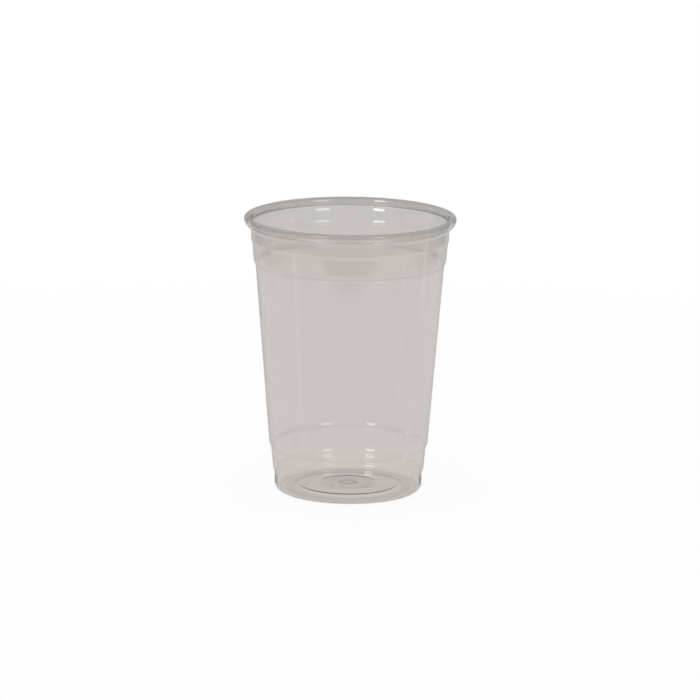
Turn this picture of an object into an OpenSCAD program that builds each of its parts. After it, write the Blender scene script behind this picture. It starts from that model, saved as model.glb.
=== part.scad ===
// Clear plastic disposable cup, drawn from one sheet.
// The wall is one continuous sheet: floor, foot, stacking steps, tapered body, neck and rolled rim.
// Millimetres, +Z up, origin at the middle of the plane that the cup stands on.

/* [Overall] */
// Height of the cup
cup_h = 102.9; // [90:0.1:130]
// Outside diameter over the rolled rim
rim_d = 78; // [74:0.5:88]
// Outside diameter of the foot
foot_d = 54.5; // [48:0.1:60]

/* [Sheet] */
// Thickness of the base, where the sheet is drawn least
base_t = 0.4; // [0.25:0.05:0.6]
// Thickness of the side wall, where the sheet is drawn most
wall_t = 0.28; // [0.2:0.02:0.5]
// Thickness of the rolled rim
rim_t = 0.42; // [0.25:0.01:0.6]
// Inside radius of the crisp bends, under the steps and round the floor
edge_r = 0.3; // [0.1:0.05:0.5]
// Inside radius of the soft bends, at the outer edges of the steps
blend_r = 4; // [1:0.25:5]

/* [Rolled rim] */
// Width of the roll's section
curl_w = 2.7; // [2.2:0.05:4]
// Height of the roll above its widest ring
curl_top_h = 1; // [0.8:0.05:2]
// Height of the roll under its widest ring
curl_low_h = 2.3; // [1:0.05:3]
// Clearance between the roll's free lip and the neck
lip_gap = 1.2; // [0.3:0.05:1.5]

/* [Neck] */
// Depth from the top of the rim to the edge of the lid's step, a fine one under the roll
lid_step_depth = 4; // [3.6:0.1:5]
// How far the wall steps in under that edge
lid_step = 0.18; // [0.1:0.02:0.4]
// Height that the lid's step takes
lid_step_h = 0.9; // [0.6:0.1:1.5]
// Depth from the top of the rim to the edge of the neck's step
neck_depth = 8.9; // [7:0.1:11]
// How far the wall steps in under that edge
neck_step = 0.42; // [0.2:0.02:0.8]
// Height that the neck's step takes
neck_step_h = 1.1; // [0.8:0.1:2.2]
// Draft of the neck above its step, in degrees
neck_draft = 1.25; // [0:0.25:3]
// Draft of the band under the neck, in degrees
band_draft = 4.4; // [2:0.1:7]

/* [Shoulder] */
// Depth from the top of the rim to the shoulder's edge, on which a stacked cup rests
shoulder_depth = 16.5; // [14.5:0.1:22]
// How far the wall steps in under the shoulder
shoulder_step = 0.77; // [0.4:0.01:1.2]
// Height that the shoulder takes
shoulder_step_h = 1.9; // [1.4:0.1:4]

/* [Base step] */
// Height of the lower step's edge above the table
base_step_z = 17.6; // [14:0.1:24]
// How far the wall steps in under that edge
base_step = 0.73; // [0.4:0.01:1.2]
// Height that the lower step takes
base_step_h = 1.7; // [1.4:0.1:3]
// Draft of the band above the foot, in degrees
foot_draft = 5.2; // [2:0.1:7]

/* [Foot] */
// Height of the upright band round the foot
foot_h = 6.5; // [5:0.1:7.5]
// How far the wall steps out above the foot
foot_step = 0.6; // [0.2:0.05:0.9]
// Height that this step takes
foot_step_h = 1.3; // [1:0.1:2.5]
// Outside radius of the heel, between the foot and the underside
heel_r = 2.7; // [1.5:0.1:3.5]
// Width of the flat ring that touches the table
stand_w = 1.2; // [0.6:0.1:2]

/* [Floor] */
// Width of the shallow slope inside the standing ring
underside_w = 3.25; // [2:0.05:4]
// Height of the floor's underside above the table
floor_rise = 1.9; // [1.5:0.05:3]
// Width of the steep slope up to the floor
floor_slope_w = 1.1; // [0.8:0.05:1.6]
// Height above the table where the steep slope begins
foot_rise = 0.5; // [0.3:0.05:0.8]
// Diameter of the shallow round panel in the middle
panel_d = 19; // [14:0.5:24]
// How far the panel lies under the floor round it
panel_drop = 0.3; // [0.15:0.05:0.6]
// Diameter of the raised pip in the panel
pip_d = 7; // [5:0.5:10]
// Height of the pip
pip_h = 0.5; // [0.2:0.05:0.8]
// Width of the slopes round the panel and the pip
small_slope_w = 0.6; // [0.5:0.05:1]

/* [Hidden] */

// Largest turn between two points of a rounded bend, in degrees
arc_step = 15;
// Length of a straight stretch that a bend leaves to the bend at the other end
bend_room = 0.3;
// Faces round the axis of the cup
around = 96;
clear_grey = [0.8, 0.77, 0.76, 0.6];

foot_r = foot_d / 2;
panel_r = panel_d / 2;
pip_r = pip_d / 2;
panel_z = floor_rise - panel_drop;
pip_z = panel_z + pip_h;
stand_r = foot_r - heel_r - stand_w;
underside_r = stand_r - underside_w;
floor_r = underside_r - floor_slope_w;

// Lower band, between the foot's step and the base step
band_low = [foot_r + foot_step, foot_h + foot_step_h];
band_top_z = base_step_z - base_step_h;
band_top = [band_low[0] + (band_top_z - band_low[1]) * tan(foot_draft), band_top_z];
body_low = [band_top[0] + base_step, base_step_z];

// Middle of the roll, and the top of the neck, where the roll begins
curl_centre = [(rim_d - curl_w) / 2, cup_h - curl_top_h];
curl_hollow = curl_w / 2 - rim_t;
neck_top = curl_centre - [curl_hollow, 0];
// The sheet is rolled about three quarters round, until its lip has the stated clearance
curl_turn = 270 + asin((curl_hollow - lip_gap) / (curl_w / 2));

// Neck, upper band and shoulder, from the rim down
lid_edge_z = cup_h - lid_step_depth;
lid_edge = [neck_top[0] - (neck_top[1] - lid_edge_z) * tan(neck_draft), lid_edge_z];
lid_under = lid_edge - [lid_step, lid_step_h];
neck_edge_z = cup_h - neck_depth;
neck_edge = [lid_under[0] - (lid_under[1] - neck_edge_z) * tan(neck_draft), neck_edge_z];
neck_under = neck_edge - [neck_step, neck_step_h];
shoulder_z = cup_h - shoulder_depth;
shoulder = [neck_under[0] - (neck_under[1] - shoulder_z) * tan(band_draft), shoulder_z];
body_top = shoulder - [shoulder_step, shoulder_step_h];

// Bends of the sheet's under and outer side, from the axis to the rim.
// Each holds its place [radius, height], the inside radius of the bend and the sheet's thickness there.
bends = [
    [[pip_r - small_slope_w, pip_z], edge_r, base_t],
    [[pip_r, panel_z], edge_r, base_t],
    [[panel_r, panel_z], edge_r, base_t],
    [[panel_r + small_slope_w, floor_rise], edge_r, base_t],
    [[floor_r, floor_rise], edge_r, base_t],
    [[underside_r, foot_rise], edge_r, base_t],
    [[stand_r, 0], edge_r, base_t],
    [[foot_r, 0], heel_r - base_t, base_t],
    [[foot_r, foot_h], edge_r, wall_t],
    [band_low, blend_r, wall_t],
    [band_top, edge_r, wall_t],
    [body_low, blend_r, wall_t],
    [body_top, edge_r, wall_t],
    [shoulder, blend_r, wall_t],
    [neck_under, edge_r, wall_t],
    [neck_edge, blend_r, wall_t],
    [lid_under, edge_r, wall_t],
    [lid_edge, edge_r, wall_t]
];

function unit(v) = v / norm(v);
function left_of(v) = [-v[1], v[0]];
function turned(v, a) = [v[0] * cos(a) - v[1] * sin(a), v[0] * sin(a) + v[1] * cos(a)];

// Turn from direction u to direction w, in degrees, positive to the left
function turn_between(u, w) = atan2(u[0] * w[1] - u[1] * w[0], u * w);

// Samples [point, normal, thickness] round the bend at b, on the way from a to c.
// The drawn side lies outside a left bend and inside a right one, so its radius differs by the thickness.
// Where the straight stretches beside it are short, the bend is as soft as they allow.
function round_bend(a, b, c, inside_r, t) =
    let (
        into = unit(b - a),
        turn = turn_between(into, unit(c - b)),
        side = sign(turn),
        reach = min(norm(b - a), norm(c - b)) - bend_room,
        radius = min(side > 0 ? inside_r + t : inside_r, reach / tan(abs(turn) / 2)),
        centre = b - into * radius * tan(abs(turn) / 2) + left_of(into) * side * radius,
        steps = max(2, ceil(abs(turn) / arc_step))
    )
    [
        for (i = [0:steps])
            let (normal = turned(left_of(into), turn * i / steps))
            [centre - normal * side * radius, normal, t]
    ];

// Samples round the rolled rim, from the neck over the top and down to the free lip.
// Its section is half an ellipse above the widest ring and half of a taller one under it.
function round_curl() =
    let (steps = ceil(curl_turn / arc_step))
    [
        for (i = [0:steps])
            let (
                spoke = turned([-1, 0], -min(arc_step * i, curl_turn)),
                half_w = curl_w / 2,
                half_h = spoke[1] > 0 ? curl_top_h : curl_low_h,
                normal = unit([spoke[0] / half_w, spoke[1] / half_h])
            )
            [curl_centre + [spoke[0] * half_w, spoke[1] * half_h] - normal * rim_t, normal, rim_t]
    ];

// Samples along the whole sheet
function sheet_samples() =
    let (
        axis = [0, pip_z],
        stops = concat([axis], [for (b = bends) b[0]], [neck_top])
    )
    concat(
        [[axis, [0, 1], base_t]],
        [
            for (i = [0:len(bends) - 1])
                each round_bend(stops[i], stops[i + 1], stops[i + 2], bends[i][1], bends[i][2])
        ],
        round_curl()
    );

// Closed section of the sheet: out along the drawn side and back along the other
function sheet_section(samples) =
    concat(
        [for (s = samples) s[0]],
        [for (i = [len(samples) - 1:-1:0]) samples[i][0] + samples[i][1] * samples[i][2]]
    );

module cup() {
    color(clear_grey)
        rotate_extrude($fn = around)
            polygon(sheet_section(sheet_samples()));
}

cup();
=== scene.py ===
"""Looks of a clear plastic disposable cup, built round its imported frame.

The cup is one formed sheet of clear plastic, turned about +Z: a pushed-up floor, a foot, stacking steps,
a tapered body, a neck and a rolled rim. Lengths are in metres and the cup stands on the plane z = 0.
"""

import logging
import math
from dataclasses import dataclass
from enum import Enum
from typing import Any

import bpy
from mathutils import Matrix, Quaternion, Vector


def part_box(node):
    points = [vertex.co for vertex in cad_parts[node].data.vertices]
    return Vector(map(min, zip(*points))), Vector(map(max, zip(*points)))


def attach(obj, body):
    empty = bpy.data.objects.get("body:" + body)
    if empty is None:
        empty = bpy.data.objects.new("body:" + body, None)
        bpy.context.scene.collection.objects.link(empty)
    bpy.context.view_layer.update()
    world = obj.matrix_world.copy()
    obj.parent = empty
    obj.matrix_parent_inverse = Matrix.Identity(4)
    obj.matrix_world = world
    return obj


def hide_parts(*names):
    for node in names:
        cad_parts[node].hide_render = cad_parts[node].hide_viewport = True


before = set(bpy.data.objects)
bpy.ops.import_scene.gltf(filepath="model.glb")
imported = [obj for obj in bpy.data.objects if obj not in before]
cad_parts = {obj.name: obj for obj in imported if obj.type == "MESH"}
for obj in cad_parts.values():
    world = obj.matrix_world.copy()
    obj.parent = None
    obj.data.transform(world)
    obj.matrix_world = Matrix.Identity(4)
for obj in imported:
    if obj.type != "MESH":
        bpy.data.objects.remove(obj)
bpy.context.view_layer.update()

Colour = tuple[float, float, float, float]
LIGHT_BOUNCES = 24
# Power of an area lamp, in watts for each square metre, at which its radiance is 1
LAMP_POWER = 4.0
log = logging.getLogger("cup")


def grey(level: float) -> Colour:
    """A neutral colour of one linear level."""
    return (level, level, level, 1.0)


def deselect_all() -> None:
    """Leaves nothing selected, so that an operator acts only on what is picked next."""
    bpy.ops.object.select_all(action="DESELECT")


@dataclass(frozen=True)
class CupSizes:
    """Sizes of the cup, in metres. The height and the rim come from the frame.

    Each name is that of the same size in the part's own source, written out.
    """

    height: float
    rim_d: float
    foot_d: float = 0.0545
    base_thickness: float = 0.0004
    wall_thickness: float = 0.00028
    rim_thickness: float = 0.00042
    edge_r: float = 0.0003
    blend_r: float = 0.004
    curl_w: float = 0.0027
    curl_top_h: float = 0.001
    curl_low_h: float = 0.0023
    lip_gap: float = 0.0012
    lid_step_depth: float = 0.004
    lid_step: float = 0.00018
    lid_step_h: float = 0.0009
    neck_depth: float = 0.0089
    neck_step: float = 0.00042
    neck_step_h: float = 0.0011
    neck_draft: float = math.radians(1.25)
    band_draft: float = math.radians(4.4)
    shoulder_depth: float = 0.0165
    shoulder_step: float = 0.00077
    shoulder_step_h: float = 0.0019
    base_step_z: float = 0.0176
    base_step: float = 0.00073
    base_step_h: float = 0.0017
    foot_draft: float = math.radians(5.2)
    foot_h: float = 0.0065
    foot_step: float = 0.0006
    foot_step_h: float = 0.0013
    heel_r: float = 0.0027
    stand_w: float = 0.0012
    underside_w: float = 0.00325
    floor_rise: float = 0.0019
    floor_slope_w: float = 0.0011
    foot_rise: float = 0.0005
    panel_d: float = 0.019
    panel_drop: float = 0.0003
    pip_d: float = 0.007
    pip_h: float = 0.0005
    small_slope_w: float = 0.0006

    @classmethod
    def of_node(cls, node: str) -> "CupSizes":
        """Sizes that fit a node of the frame.

        Args:
            node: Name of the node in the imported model.

        Returns:
            The sizes, with the node's own height and rim.
        """
        low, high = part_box(node)
        return cls(height=high.z - low.z, rim_d=high.x - low.x)

    @property
    def curl_low_z(self) -> float:
        """Height of the rolled rim's lowest ring."""
        return self.height - self.curl_top_h - self.curl_low_h

    @property
    def shoulder_z(self) -> float:
        """Height of the shoulder's edge."""
        return self.height - self.shoulder_depth

    @property
    def panel_edge_r(self) -> float:
        """Distance from the axis to the middle of the slope round the floor's panel."""
        return (self.panel_d + self.small_slope_w) / 2

    @property
    def step_middles(self) -> tuple[float, float]:
        """Heights of the middle of the shoulder and of the base step, where the finish paints thin lines of
        shade.
        """
        return self.shoulder_z - self.shoulder_step_h / 2, self.base_step_z - self.base_step_h / 2


@dataclass(frozen=True)
class Bend:
    """A bend of the sheet, where two straight stretches of its outer side would meet."""

    radius: float
    height: float
    inside_r: float
    thickness: float

    @property
    def place(self) -> Vector:
        """The bend's corner on the section's plane, as radius and height."""
        return Vector((self.radius, self.height))


@dataclass(frozen=True)
class Sample:
    """A point on the sheet's outer side, the way through the sheet there and its thickness."""

    point: Vector
    through: Vector
    thickness: float

    @property
    def inner(self) -> Vector:
        """The point straight through the sheet."""
        return self.point + self.through * self.thickness

    def towards(self, other: "Sample", share: float) -> "Sample":
        """A sample on the straight line to another.

        Args:
            other: The sample at the far end.
            share: How far along the line, from 0 to 1.

        Returns:
            The sample in between.
        """
        return Sample(
            self.point.lerp(other.point, share),
            self.through.lerp(other.through, share).normalized(),
            self.thickness + (other.thickness - self.thickness) * share,
        )


def left_of(way: Vector) -> Vector:
    """The direction a quarter turn to the left."""
    return Vector((-way.y, way.x))


def turned(way: Vector, angle: float) -> Vector:
    """A direction turned to the left.

    Args:
        way: The direction.
        angle: The turn, in radians.

    Returns:
        The turned direction.
    """
    cos, sin = math.cos(angle), math.sin(angle)
    return Vector((way.x * cos - way.y * sin, way.x * sin + way.y * cos))


@dataclass(frozen=True)
class SheetSection:
    """The section of the cup's sheet, from the axis to the free lip of the rolled rim.

    A straight stretch has a sample held close to each of its ends, so that it is shaded flat. The sheet gets
    thinner over the last part of the roll, down to the thickness of its cut edge.
    """

    sizes: CupSizes
    arc_step: float = math.radians(6.0)
    hold: float = 0.00012
    lip_taper: float = math.radians(36.0)
    lip_edge: float = 0.0001

    @property
    def curl_centre(self) -> Vector:
        """Middle of the rolled rim's section."""
        s = self.sizes
        return Vector(((s.rim_d - s.curl_w) / 2, s.height - s.curl_top_h))

    @property
    def curl_inner_r(self) -> float:
        """Half the width of the hollow inside the rolled rim."""
        return self.sizes.curl_w / 2 - self.sizes.rim_thickness

    @property
    def neck_top(self) -> Vector:
        """Where the neck's outer side runs into the rolled rim."""
        return self.curl_centre - Vector((self.curl_inner_r, 0.0))

    def base_bends(self) -> list[Bend]:
        """Bends of the pushed-up floor, its panel and its standing ring, from the axis outwards."""
        s = self.sizes
        panel_z = s.floor_rise - s.panel_drop
        pip_r, panel_r, foot_r = s.pip_d / 2, s.panel_d / 2, s.foot_d / 2
        stand_r = foot_r - s.heel_r - s.stand_w
        underside_r = stand_r - s.underside_w
        corners = [
            (pip_r - s.small_slope_w, panel_z + s.pip_h),
            (pip_r, panel_z),
            (panel_r, panel_z),
            (panel_r + s.small_slope_w, s.floor_rise),
            (underside_r - s.floor_slope_w, s.floor_rise),
            (underside_r, s.foot_rise),
            (stand_r, 0.0),
        ]
        base = [Bend(r, z, s.edge_r, s.base_thickness) for r, z in corners]
        return base + [Bend(foot_r, 0.0, s.heel_r - s.base_thickness, s.base_thickness)]

    def wall_bends(self) -> list[Bend]:
        """Bends of the foot, the steps and the body, from the foot up to the neck."""
        s = self.sizes
        foot_r = s.foot_d / 2
        band_low = Vector((foot_r + s.foot_step, s.foot_h + s.foot_step_h))
        band_top_z = s.base_step_z - s.base_step_h
        band_top_r = band_low.x + (band_top_z - band_low.y) * math.tan(s.foot_draft)
        lid_edge_z = s.height - s.lid_step_depth
        lid_edge_r = self.neck_top.x - (self.neck_top.y - lid_edge_z) * math.tan(s.neck_draft)
        lid_under = Vector((lid_edge_r - s.lid_step, lid_edge_z - s.lid_step_h))
        neck_edge_z = s.height - s.neck_depth
        neck_edge_r = lid_under.x - (lid_under.y - neck_edge_z) * math.tan(s.neck_draft)
        neck_under = Vector((neck_edge_r - s.neck_step, neck_edge_z - s.neck_step_h))
        shoulder_z = s.height - s.shoulder_depth
        shoulder_r = neck_under.x - (neck_under.y - shoulder_z) * math.tan(s.band_draft)
        corners = [
            (foot_r, s.foot_h, s.edge_r),
            (band_low.x, band_low.y, s.blend_r),
            (band_top_r, band_top_z, s.edge_r),
            (band_top_r + s.base_step, s.base_step_z, s.blend_r),
            (shoulder_r - s.shoulder_step, shoulder_z - s.shoulder_step_h, s.edge_r),
            (shoulder_r, shoulder_z, s.blend_r),
            (neck_under.x, neck_under.y, s.edge_r),
            (neck_edge_r, neck_edge_z, s.blend_r),
            (lid_under.x, lid_under.y, s.edge_r),
            (lid_edge_r, lid_edge_z, s.edge_r),
        ]
        return [Bend(r, z, inside_r, s.wall_thickness) for r, z, inside_r in corners]

    def round_bend(self, before: Vector, bend: Bend, after: Vector) -> list[Sample]:
        """Samples round one bend.

        Args:
            before: The corner before the bend.
            bend: The bend.
            after: The corner after it.

        Returns:
            The samples, in order.
        """
        into = (bend.place - before).normalized()
        onward = (after - bend.place).normalized()
        turn = math.atan2(into.cross(onward), into.dot(onward))
        side = math.copysign(1.0, turn)
        radius = bend.inside_r + (bend.thickness if side > 0 else 0.0)
        corner_to_tangent = radius * math.tan(abs(turn) / 2)
        centre = bend.place - into * corner_to_tangent + left_of(into) * side * radius
        steps = max(2, math.ceil(abs(turn) / self.arc_step))
        ways = [turned(left_of(into), turn * i / steps) for i in range(steps + 1)]
        return [Sample(centre - way * side * radius, way, bend.thickness) for way in ways]

    def round_curl(self) -> list[Sample]:
        """Samples round the rolled rim, from the neck over the top and down to the free lip."""
        s = self.sizes
        half_w = s.curl_w / 2
        turn = 1.5 * math.pi + math.asin((self.curl_inner_r - s.lip_gap) / half_w)
        steps = math.ceil(turn / self.arc_step)
        found = []
        for i in range(steps + 1):
            angle = min(self.arc_step * i, turn)
            spoke = turned(Vector((-1.0, 0.0)), -angle)
            half_h = s.curl_top_h if spoke.y > 0 else s.curl_low_h
            face = self.curl_centre + Vector((spoke.x * half_w, spoke.y * half_h))
            way = Vector((spoke.x / half_w, spoke.y / half_h)).normalized()
            left = min(1.0, (turn - angle) / self.lip_taper)
            thickness = self.lip_edge + (s.rim_thickness - self.lip_edge) * left
            found.append(Sample(face - way * thickness, way, thickness))
        return found

    def samples(self) -> list[Sample]:
        """Samples along the whole sheet, with one held close to each end of a straight stretch."""
        bends = self.base_bends() + self.wall_bends()
        axis = Vector((0.0, bends[0].height))
        stops = [axis, *(bend.place for bend in bends), self.neck_top]
        found = [Sample(axis, Vector((0.0, 1.0)), bends[0].thickness)]
        for before, bend, after in zip(stops, bends, stops[2:]):
            found += self.round_bend(before, bend, after)
        found += self.round_curl()
        held = found[:1]
        for start, end in zip(found, found[1:]):
            gap = (end.point - start.point).length
            if gap > 3 * self.hold:
                held += [start.towards(end, self.hold / gap), start.towards(end, 1 - self.hold / gap)]
            held.append(end)
        return held

    def outline(self) -> list[Vector]:
        """The section's outline: out along the outer side and back along the inner one."""
        samples = self.samples()
        return [s.point for s in samples] + [s.inner for s in reversed(samples)]


class Field:
    """A number that changes over a surface, so that shader maths reads as arithmetic."""

    def __init__(self, graph: "Graph", socket: bpy.types.NodeSocket) -> None:
        """Wraps an output socket of a graph."""
        self.graph = graph
        self.socket = socket

    def maths(self, operation: str, first: Any, second: Any) -> "Field":
        """The result of one Math node.

        Args:
            operation: The node's operation.
            first: Its first value, a number or a Field.
            second: Its second value, a number or a Field.

        Returns:
            The result, as a Field.
        """
        sockets = {"Value": first, "Value_001": second}
        node = self.graph.add("ShaderNodeMath", {"operation": operation}, sockets)
        return Field(self.graph, node.outputs[0])

    def __add__(self, other: "Field | float") -> "Field":
        """The sum."""
        return self.maths("ADD", self, other)

    __radd__ = __add__

    def __mul__(self, other: "Field | float") -> "Field":
        """The product."""
        return self.maths("MULTIPLY", self, other)

    __rmul__ = __mul__

    def __sub__(self, other: "Field | float") -> "Field":
        """The difference."""
        return self.maths("SUBTRACT", self, other)

    def __rsub__(self, other: float) -> "Field":
        """The difference from a number."""
        return self.maths("SUBTRACT", other, self)

    def at_least(self, other: "Field | float") -> "Field":
        """The larger of the two."""
        return self.maths("MAXIMUM", self, other)

    def ramp(self, low: float, high: float) -> "Field":
        """A smooth rise from 0 to 1.

        Args:
            low: The value at which it starts.
            high: The value at which it ends.

        Returns:
            The share, as a Field.
        """
        node = self.graph.add(
            "ShaderNodeMapRange",
            {"interpolation_type": "SMOOTHSTEP"},
            {"Value": self, "From Min": low, "From Max": high},
        )
        return Field(self.graph, node.outputs["Result"])


class Graph:
    """The shader nodes of a material, or of the world."""

    def __init__(self, owner: bpy.types.Material | bpy.types.World) -> None:
        """Empties the owner's nodes and starts on new ones."""
        owner.use_nodes = True
        self.tree = owner.node_tree
        self.tree.nodes.clear()

    def add(
        self, kind: str, settings: dict[str, Any] | None = None, sockets: dict[str, Any] | None = None
    ) -> bpy.types.Node:
        """Adds a node.

        Args:
            kind: The node's type.
            settings: Its settings by name, set before its sockets.
            sockets: A value, a Field or an output socket for each input, by identifier or name.

        Returns:
            The node.
        """
        node = self.tree.nodes.new(kind)
        for name, value in (settings or {}).items():
            setattr(node, name, value)
        for key, value in (sockets or {}).items():
            named = [s for s in node.inputs if key in (s.identifier, s.name)]
            socket = next((s for s in named if s.identifier == key), named[0])
            source = value.socket if isinstance(value, Field) else value
            if isinstance(source, bpy.types.NodeSocket):
                self.tree.links.new(source, socket)
            else:
                socket.default_value = source
        return node

    def field(self, node: bpy.types.Node, output: str) -> Field:
        """One output of a node, as a Field."""
        return Field(self, node.outputs[output])

    def length(self, vector: bpy.types.NodeSocket) -> Field:
        """The length of a vector."""
        node = self.add("ShaderNodeVectorMath", {"operation": "LENGTH"}, {"Vector": vector})
        return self.field(node, "Value")

    def noise(self, place: bpy.types.NodeSocket, scale: float, detail: float) -> Field:
        """Soft noise.

        Args:
            place: The place at which it is read.
            scale: How many blobs there are to a metre.
            detail: How many times it is refined.

        Returns:
            The noise, as a Field.
        """
        sockets = {"Vector": place, "Scale": scale, "Detail": detail}
        return self.field(self.add("ShaderNodeTexNoise", sockets=sockets), "Fac")

    def blend(self, share: Field, start: Any, end: Any) -> bpy.types.NodeSocket:
        """A colour between two others.

        Args:
            share: How much of the second colour there is.
            start: The first colour, or a socket that gives it.
            end: The second colour, or a socket that gives it.

        Returns:
            The socket with the mixed colour.
        """
        sockets = {"Factor_Float": share, "A_Color": start, "B_Color": end}
        return self.add("ShaderNodeMix", {"data_type": "RGBA"}, sockets).outputs[2]

    def shown(self, share: Any, start: bpy.types.Node, end: bpy.types.Node) -> bpy.types.Node:
        """A Mix Shader between two shaders.

        Args:
            share: How much of the second shader there is.
            start: The first shader.
            end: The second shader.

        Returns:
            The Mix Shader node.
        """
        sockets = {"Fac": share, "Shader": start.outputs[0], "Shader_001": end.outputs[0]}
        return self.add("ShaderNodeMixShader", sockets=sockets)


@dataclass(frozen=True)
class ClearPlastic:
    """Clear formed sheet: glossy, with a faint warm grey cast, fine haze and the soft ripple of drawing.

    The cast is deeper inside the floor's panel, and lighter over the floor and foot and at the roll's lip.
    The darker tints of the heel, the neck and the roll, and the thin dark lines at the middles of the two
    steps, are painted shade for the dim surroundings that these parts bend and mirror; the roll's thicker
    sheet adds some real cast.
    """

    panel_r: float
    neck_z: float
    rim_z: float
    # Heights of the thin lines of painted shade on the two steps
    step_shade_heights: tuple[float, ...]
    name: str = "clear_plastic"
    ior: float = 1.57
    # Painted shade: the heel at the bottom is tinted darker than the floor and foot above it
    heel_shade_tint: Colour = (0.87, 0.855, 0.84, 1.0)
    panel_tint: Colour = (0.89, 0.875, 0.855, 1.0)
    base_tint: Colour = (0.99, 0.975, 0.957, 1.0)
    wall_tint: Colour = (0.951, 0.93, 0.924, 1.0)
    # Painted shade: the neck above the shoulder is tinted darker
    neck_shade_tint: Colour = (0.917, 0.897, 0.882, 1.0)
    lip_tint: Colour = (0.99, 0.985, 0.98, 1.0)
    # Painted shade on the roll, over the real cast of its thicker sheet
    rim_cast_and_shade_tint: Colour = (0.885, 0.863, 0.843, 1.0)
    # Painted shade: tints of the thin dark lines at the middles of the shoulder and the base step
    step_shade_tints: tuple[Colour, ...] = ((0.84, 0.822, 0.816, 1.0), (0.905, 0.885, 0.88, 1.0))
    lamp_tint: Colour = (0.97, 0.965, 0.96, 1.0)
    heel_z: float = 0.0008
    heel_fade: float = 0.0005
    base_z: float = 0.006
    base_fade: float = 0.006
    neck_fade: float = 0.003
    rim_fade: float = 0.0003
    lip_h: float = 0.0008
    # Half widths of the full and the fading part of each painted shade line on the steps
    step_shade_core: float = 0.0001
    step_shade_edge: float = 0.0003
    polish: float = 0.03
    haze: float = 0.05
    haze_scale: float = 140.0
    haze_detail: float = 4.0
    haze_band: tuple[float, float] = (0.45, 0.75)
    lip_haze: float = 0.2
    ripple_scale: float = 90.0
    ripple_detail: float = 2.0
    ripple_stretch: float = 0.12
    ripple_depth: float = 0.00002

    @classmethod
    def for_cup(cls, sizes: CupSizes) -> "ClearPlastic":
        """The finish with its tints placed for a cup's sizes."""
        return cls(sizes.panel_edge_r, sizes.shoulder_z, sizes.curl_low_z, sizes.step_middles)

    @property
    def lip_top(self) -> float:
        """Height up to which the roll's free lip reaches."""
        return self.rim_z + self.lip_h

    def tint_rises(self) -> tuple[tuple[float, float, Colour], ...]:
        """Where the tint changes on the way up: between which heights, and to which tint."""
        return (
            (self.heel_z, self.heel_z + self.heel_fade, self.base_tint),
            (self.base_z, self.base_z + self.base_fade, self.wall_tint),
            (self.neck_z - self.neck_fade, self.neck_z, self.neck_shade_tint),
            (self.rim_z - self.rim_fade, self.rim_z, self.lip_tint),
            (self.lip_top, self.lip_top + self.rim_fade, self.rim_cast_and_shade_tint),
        )

    def tint(self, graph: Graph, place: bpy.types.NodeSocket, height: Field) -> bpy.types.NodeSocket:
        """The sheet's tint, by its place on the cup.

        Args:
            graph: The material's nodes.
            place: The place on the cup.
            height: The height on the cup.

        Returns:
            The socket with the tint.
        """
        # Painted shade darkens the heel, the neck and the roll; the roll's tint also holds its thicker
        # sheet's cast
        tint = self.heel_shade_tint
        for start, end, above in self.tint_rises():
            tint = graph.blend(height.ramp(start, end), tint, above)
        round_panel = graph.length(place).ramp(self.panel_r, self.panel_r + self.rim_fade)
        tint = graph.blend(round_panel, self.panel_tint, tint)
        # Thin dark lines of painted shade at the middles of the two steps
        for middle, step_shade_tint in zip(self.step_shade_heights, self.step_shade_tints):
            away = (height - middle).at_least(middle - height)
            tint = graph.blend(away.ramp(self.step_shade_core, self.step_shade_edge), step_shade_tint, tint)
        return tint

    def roughness(self, graph: Graph, place: bpy.types.NodeSocket, height: Field) -> Field:
        """The sheet's roughness: polished, with fine haze all over and more of it at the roll's lip.

        Args:
            graph: The material's nodes.
            place: The place on the cup.
            height: The height on the cup.

        Returns:
            The roughness, as a Field.
        """
        cloud = graph.noise(place, self.haze_scale, self.haze_detail)
        over_lip = height.ramp(self.lip_top, self.lip_top + self.rim_fade)
        at_lip = height.ramp(self.rim_z - self.rim_fade, self.rim_z) * (1.0 - over_lip)
        return self.polish + self.haze * cloud.ramp(*self.haze_band) + self.lip_haze * at_lip

    def material(self) -> bpy.types.Material:
        """The finish as a material.

        Returns:
            The new material.
        """
        material = bpy.data.materials.new(self.name)
        graph = Graph(material)
        place = graph.add("ShaderNodeTexCoord").outputs["Object"]
        height = graph.field(graph.add("ShaderNodeSeparateXYZ", sockets={"Vector": place}), "Z")
        drawn_out = {"Vector": place, "Scale": (1.0, 1.0, self.ripple_stretch)}
        stretched = graph.add("ShaderNodeMapping", sockets=drawn_out).outputs["Vector"]
        ripple = graph.noise(stretched, self.ripple_scale, self.ripple_detail)
        relief = {"Height": ripple, "Distance": self.ripple_depth, "Strength": 1.0}
        bump = graph.add("ShaderNodeBump", sockets=relief)
        plastic = graph.add(
            "ShaderNodeBsdfPrincipled",
            sockets={
                "Base Color": self.tint(graph, place, height),
                "Roughness": self.roughness(graph, place, height),
                "Normal": bump.outputs["Normal"],
                "IOR": self.ior,
                "Transmission Weight": 1.0,
            },
        )
        ray = graph.add("ShaderNodeLightPath")
        let_through = graph.add("ShaderNodeBsdfTransparent", sockets={"Color": self.lamp_tint})
        for kind in ("Is Diffuse Ray", "Is Shadow Ray"):
            plastic = graph.shown(ray.outputs[kind], plastic, let_through)
        graph.add("ShaderNodeOutputMaterial", sockets={"Surface": plastic.outputs[0]})
        return material


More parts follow.
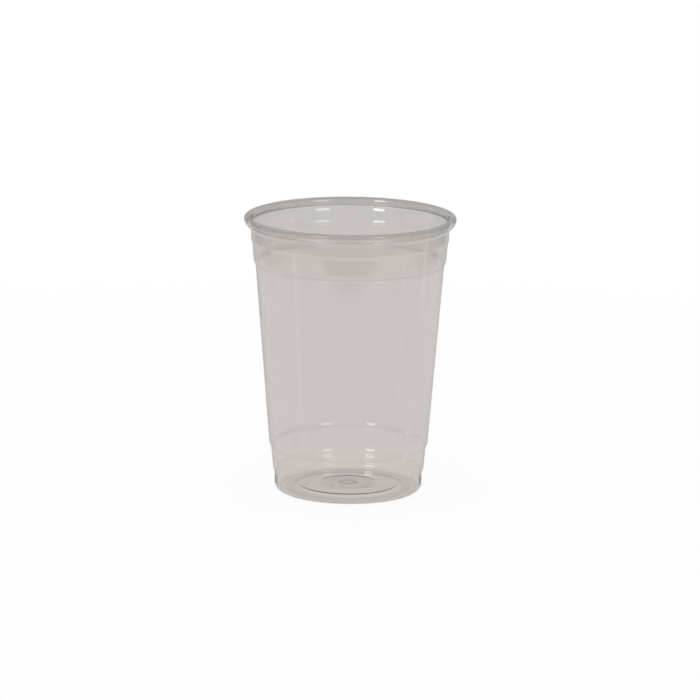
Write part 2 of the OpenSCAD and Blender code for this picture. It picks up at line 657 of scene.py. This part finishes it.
@dataclass(frozen=True)
class Cup:
    """The cup: its sheet's section spun about its axis."""

    sizes: CupSizes
    finish: ClearPlastic
    name: str = "clear_cup"
    around: int = 192
    weld: float = 1e-6
    crease: float = math.radians(35.0)

    def build(self) -> bpy.types.Object:
        """Models the cup's sheet as one closed mesh.

        Returns:
            The cup.
        """
        outline = SheetSection(self.sizes).outline()
        deselect_all()
        bpy.ops.mesh.primitive_plane_add(size=self.sizes.base_thickness)
        cup = bpy.context.object
        cup.name = cup.data.name = self.name
        bpy.ops.object.mode_set(mode="EDIT")
        bpy.ops.mesh.select_all(action="SELECT")
        bpy.ops.mesh.merge(type="CENTER")
        start = outline[0]
        bpy.ops.transform.translate(value=(start.x, 0.0, start.y))
        for point in outline[1:]:
            step = point - start
            bpy.ops.mesh.extrude_vertices_move(TRANSFORM_OT_translate={"value": (step.x, 0.0, step.y)})
            start = point
        bpy.ops.mesh.select_all(action="SELECT")
        bpy.ops.mesh.spin(steps=self.around, angle=math.tau, center=(0.0, 0.0, 0.0), axis=(0.0, 0.0, 1.0))
        bpy.ops.mesh.select_all(action="SELECT")
        bpy.ops.mesh.remove_doubles(threshold=self.weld)
        bpy.ops.mesh.normals_make_consistent(inside=False)
        bpy.ops.object.mode_set(mode="OBJECT")
        bpy.ops.object.shade_smooth_by_angle(angle=self.crease)
        return cup

    def dress(self, cup: bpy.types.Object) -> None:
        """Gives the cup its finish and ties it to the frame.

        Args:
            cup: The cup as built.
        """
        cup.data.materials.append(self.finish.material())
        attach(cup, "root")
        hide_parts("cup")


class Side(Enum):
    """Where a lamp stands, as its azimuth in degrees from the camera's side, and positive to the right."""

    LEFT = -34.0
    RIGHT = 32.5
    FAR_LEFT = -102.0
    TOP = 0.0


@dataclass(frozen=True)
class Softbox:
    """A soft rectangular lamp that faces the cup."""

    side: Side
    width: float
    height: float
    radiance: float
    elevation: float = math.radians(9.0)
    reflected: bool = True
    distance: float = 3.0
    aim: tuple[float, float, float] = (0.0, 0.0, 0.05)

    def build(self) -> bpy.types.Object:
        """Adds the lamp.

        Returns:
            The lamp.
        """
        azimuth = math.radians(self.side.value)
        level = math.cos(self.elevation)
        away = Vector((math.sin(azimuth) * level, -math.cos(azimuth) * level, math.sin(self.elevation)))
        deselect_all()
        bpy.ops.object.light_add(type="AREA", location=Vector(self.aim) + away * self.distance)
        lamp = bpy.context.object
        lamp.name = f"softbox_{self.side.name.lower()}"
        lamp.rotation_euler = away.to_track_quat("Z", "Y").to_euler()
        lamp.data.shape = "RECTANGLE"
        lamp.data.size = self.width
        lamp.data.size_y = self.height
        lamp.data.energy = self.radiance * LAMP_POWER * self.width * self.height
        lamp.visible_camera = False
        lamp.visible_glossy = lamp.visible_transmission = self.reflected
        return lamp


@dataclass(frozen=True)
class Studio:
    """A plain pale floor, a pale world round it and soft lamps.

    The camera sees the floor and the world as white. In the plastic's mirror images the floor is darkened by
    painted shade further off in front and at the sides, and the world is dimmer at its sides, as the
    surroundings of a lit table are.
    """

    floor_side: float = 16.0
    floor_tone: Colour = (0.655, 0.63, 0.623, 1.0)
    white: float = 1.0
    backdrop_share: float = 0.05
    shadow_share: float = 0.5
    shadow_r: float = 0.12
    white_r: float = 0.45
    # Painted shade: the tone the floor takes in mirror images where it is darkened
    mirror_shade_tone: Colour = (0.05, 0.045, 0.04, 1.0)
    front_edge: tuple[float, float] = (0.235, 0.262)
    front_return: tuple[float, float] = (0.4, 0.7)
    return_share: float = 0.7
    faces_crossed: tuple[float, float] = (2.0, 4.0)
    side_edge: tuple[float, float] = (0.28, 0.33)
    side_share: float = 0.6
    world_tone: float = 0.45
    world_side_tone: float = 0.15
    world_side: tuple[float, float] = (0.6, 0.9)
    softboxes: tuple[Softbox, ...] = (
        Softbox(Side.LEFT, 0.7, 1.0, 3.5),
        Softbox(Side.RIGHT, 0.9, 1.0, 1.8),
        Softbox(Side.FAR_LEFT, 0.3, 1.0, 1.2),
        Softbox(Side.TOP, 4.0, 4.0, 1.22, math.radians(90.0), reflected=False),
    )

    def floor_mirror_shade(self, graph: Graph, ray: bpy.types.Node, place: bpy.types.NodeSocket) -> Field:
        """How much painted shade darkens the floor in mirror images, further off in front and at the sides.

        A mirror image counts while the ray has crossed few faces of the sheet, as from the near wall.

        Args:
            graph: The floor's nodes.
            ray: Its Light Path node.
            place: The place on the floor.

        Returns:
            The share of the painted shade tone, as a Field.
        """
        crossed = graph.field(ray, "Transmission Depth").ramp(*self.faces_crossed)
        mirrored = graph.field(ray, "Glossy Depth").ramp(0.0, 1.0) * (1.0 - crossed)
        parts = graph.add("ShaderNodeSeparateXYZ", sockets={"Vector": place})
        across, ahead = graph.field(parts, "X"), 0.0 - graph.field(parts, "Y")
        in_front = ahead.ramp(*self.front_edge) * (1.0 - ahead.ramp(*self.front_return) * self.return_share)
        beside = across.at_least(0.0 - across).ramp(*self.side_edge) * self.side_share
        return mirrored * in_front.at_least(beside)

    def floor_material(self) -> bpy.types.Material:
        """A pale grey floor that the camera sees as white, apart from the cup's shadow.

        Returns:
            The new material.
        """
        material = bpy.data.materials.new("studio_floor")
        graph = Graph(material)
        ray = graph.add("ShaderNodeLightPath")
        to_camera = graph.field(ray, "Is Camera Ray")
        in_plastic = graph.field(ray, "Is Glossy Ray").at_least(graph.field(ray, "Is Transmission Ray"))
        place = graph.add("ShaderNodeTexCoord").outputs["Object"]
        # The floor's tone, with painted shade in mirror images
        tone = graph.blend(self.floor_mirror_shade(graph, ray, place), self.floor_tone, self.mirror_shade_tone)
        seen = graph.blend(to_camera, tone, grey(self.white))
        lit = graph.add("ShaderNodeBsdfDiffuse", sockets={"Color": seen})
        far = graph.length(place).ramp(self.shadow_r, self.white_r)
        glow = graph.add("ShaderNodeEmission", sockets={"Color": grey(self.white), "Strength": 1.0})
        share = to_camera * far.at_least(1 - self.shadow_share) + in_plastic * self.backdrop_share
        graph.add("ShaderNodeOutputMaterial", sockets={"Surface": graph.shown(share, lit, glow).outputs[0]})
        return material

    def build_floor(self) -> bpy.types.Object:
        """Lays the floor under the cup.

        Returns:
            The floor.
        """
        deselect_all()
        bpy.ops.mesh.primitive_plane_add(size=self.floor_side)
        floor = bpy.context.object
        floor.name = "floor"
        floor.data.materials.append(self.floor_material())
        return floor

    def build_world(self) -> bpy.types.World:
        """Makes the world: white to the camera, and to all else pale, with dimmer sides.

        Returns:
            The world.
        """
        world = bpy.data.worlds.new("studio")
        graph = Graph(world)
        ray = graph.add("ShaderNodeLightPath")
        to_camera = graph.field(ray, "Is Camera Ray")
        in_plastic = graph.field(ray, "Is Glossy Ray").at_least(graph.field(ray, "Is Transmission Ray"))
        way = graph.add("ShaderNodeTexCoord").outputs["Generated"]
        across = graph.field(graph.add("ShaderNodeSeparateXYZ", sockets={"Vector": way}), "X")
        sideways = across.at_least(0.0 - across).ramp(*self.world_side)
        tone = graph.blend(sideways, grey(self.world_tone), grey(self.world_side_tone))
        share = to_camera + in_plastic * self.backdrop_share
        colour = graph.blend(share, tone, grey(self.white))
        light = graph.add("ShaderNodeBackground", sockets={"Color": colour, "Strength": 1.0})
        graph.add("ShaderNodeOutputWorld", sockets={"Surface": light.outputs[0]})
        bpy.context.scene.world = world
        return world


@dataclass(frozen=True)
class View:
    """The camera at the photograph's viewing angle."""

    distance: float = 1.8
    height: float = 0.4453
    aim: tuple[float, float, float] = (0.0003, 0.0, 0.05235)
    roll: float = math.radians(0.505)
    lens: float = 256.7

    def build(self) -> bpy.types.Object:
        """Adds the camera and makes it the scene's own.

        Returns:
            The camera.
        """
        place = Vector((0.0, -self.distance, self.height))
        deselect_all()
        bpy.ops.object.camera_add(location=place)
        camera = bpy.context.object
        camera.name = "camera"
        facing = (Vector(self.aim) - place).to_track_quat("-Z", "Y")
        camera.rotation_euler = (facing @ Quaternion((0.0, 0.0, 1.0), self.roll)).to_euler()
        camera.data.lens = self.lens
        bpy.context.scene.camera = camera
        return camera


def set_colour_view() -> None:
    """Shows colours plainly and lets light through the rolled rim's many walls."""
    scene = bpy.context.scene
    scene.view_settings.view_transform = "Standard"
    scene.cycles.max_bounces = LIGHT_BOUNCES
    scene.cycles.transmission_bounces = LIGHT_BOUNCES
    scene.cycles.transparent_max_bounces = LIGHT_BOUNCES


def main() -> None:
    """Builds the camera, the cup and the studio in order, and reports each."""
    logging.basicConfig(level=logging.INFO, format="%(name)s: %(message)s")
    set_colour_view()
    log.info("camera: %s", View().build().name)
    sizes = CupSizes.of_node("cup")
    cup = Cup(sizes, ClearPlastic.for_cup(sizes))
    piece = cup.build()
    cup.dress(piece)
    log.info("piece %s: %d faces", piece.name, len(piece.data.polygons))
    studio = Studio()
    log.info("stage: %s", studio.build_floor().name)
    for softbox in studio.softboxes:
        log.info("lamp: %s", softbox.build().name)
    log.info("world: %s", studio.build_world().name)


if __name__ == "__main__":
    main()
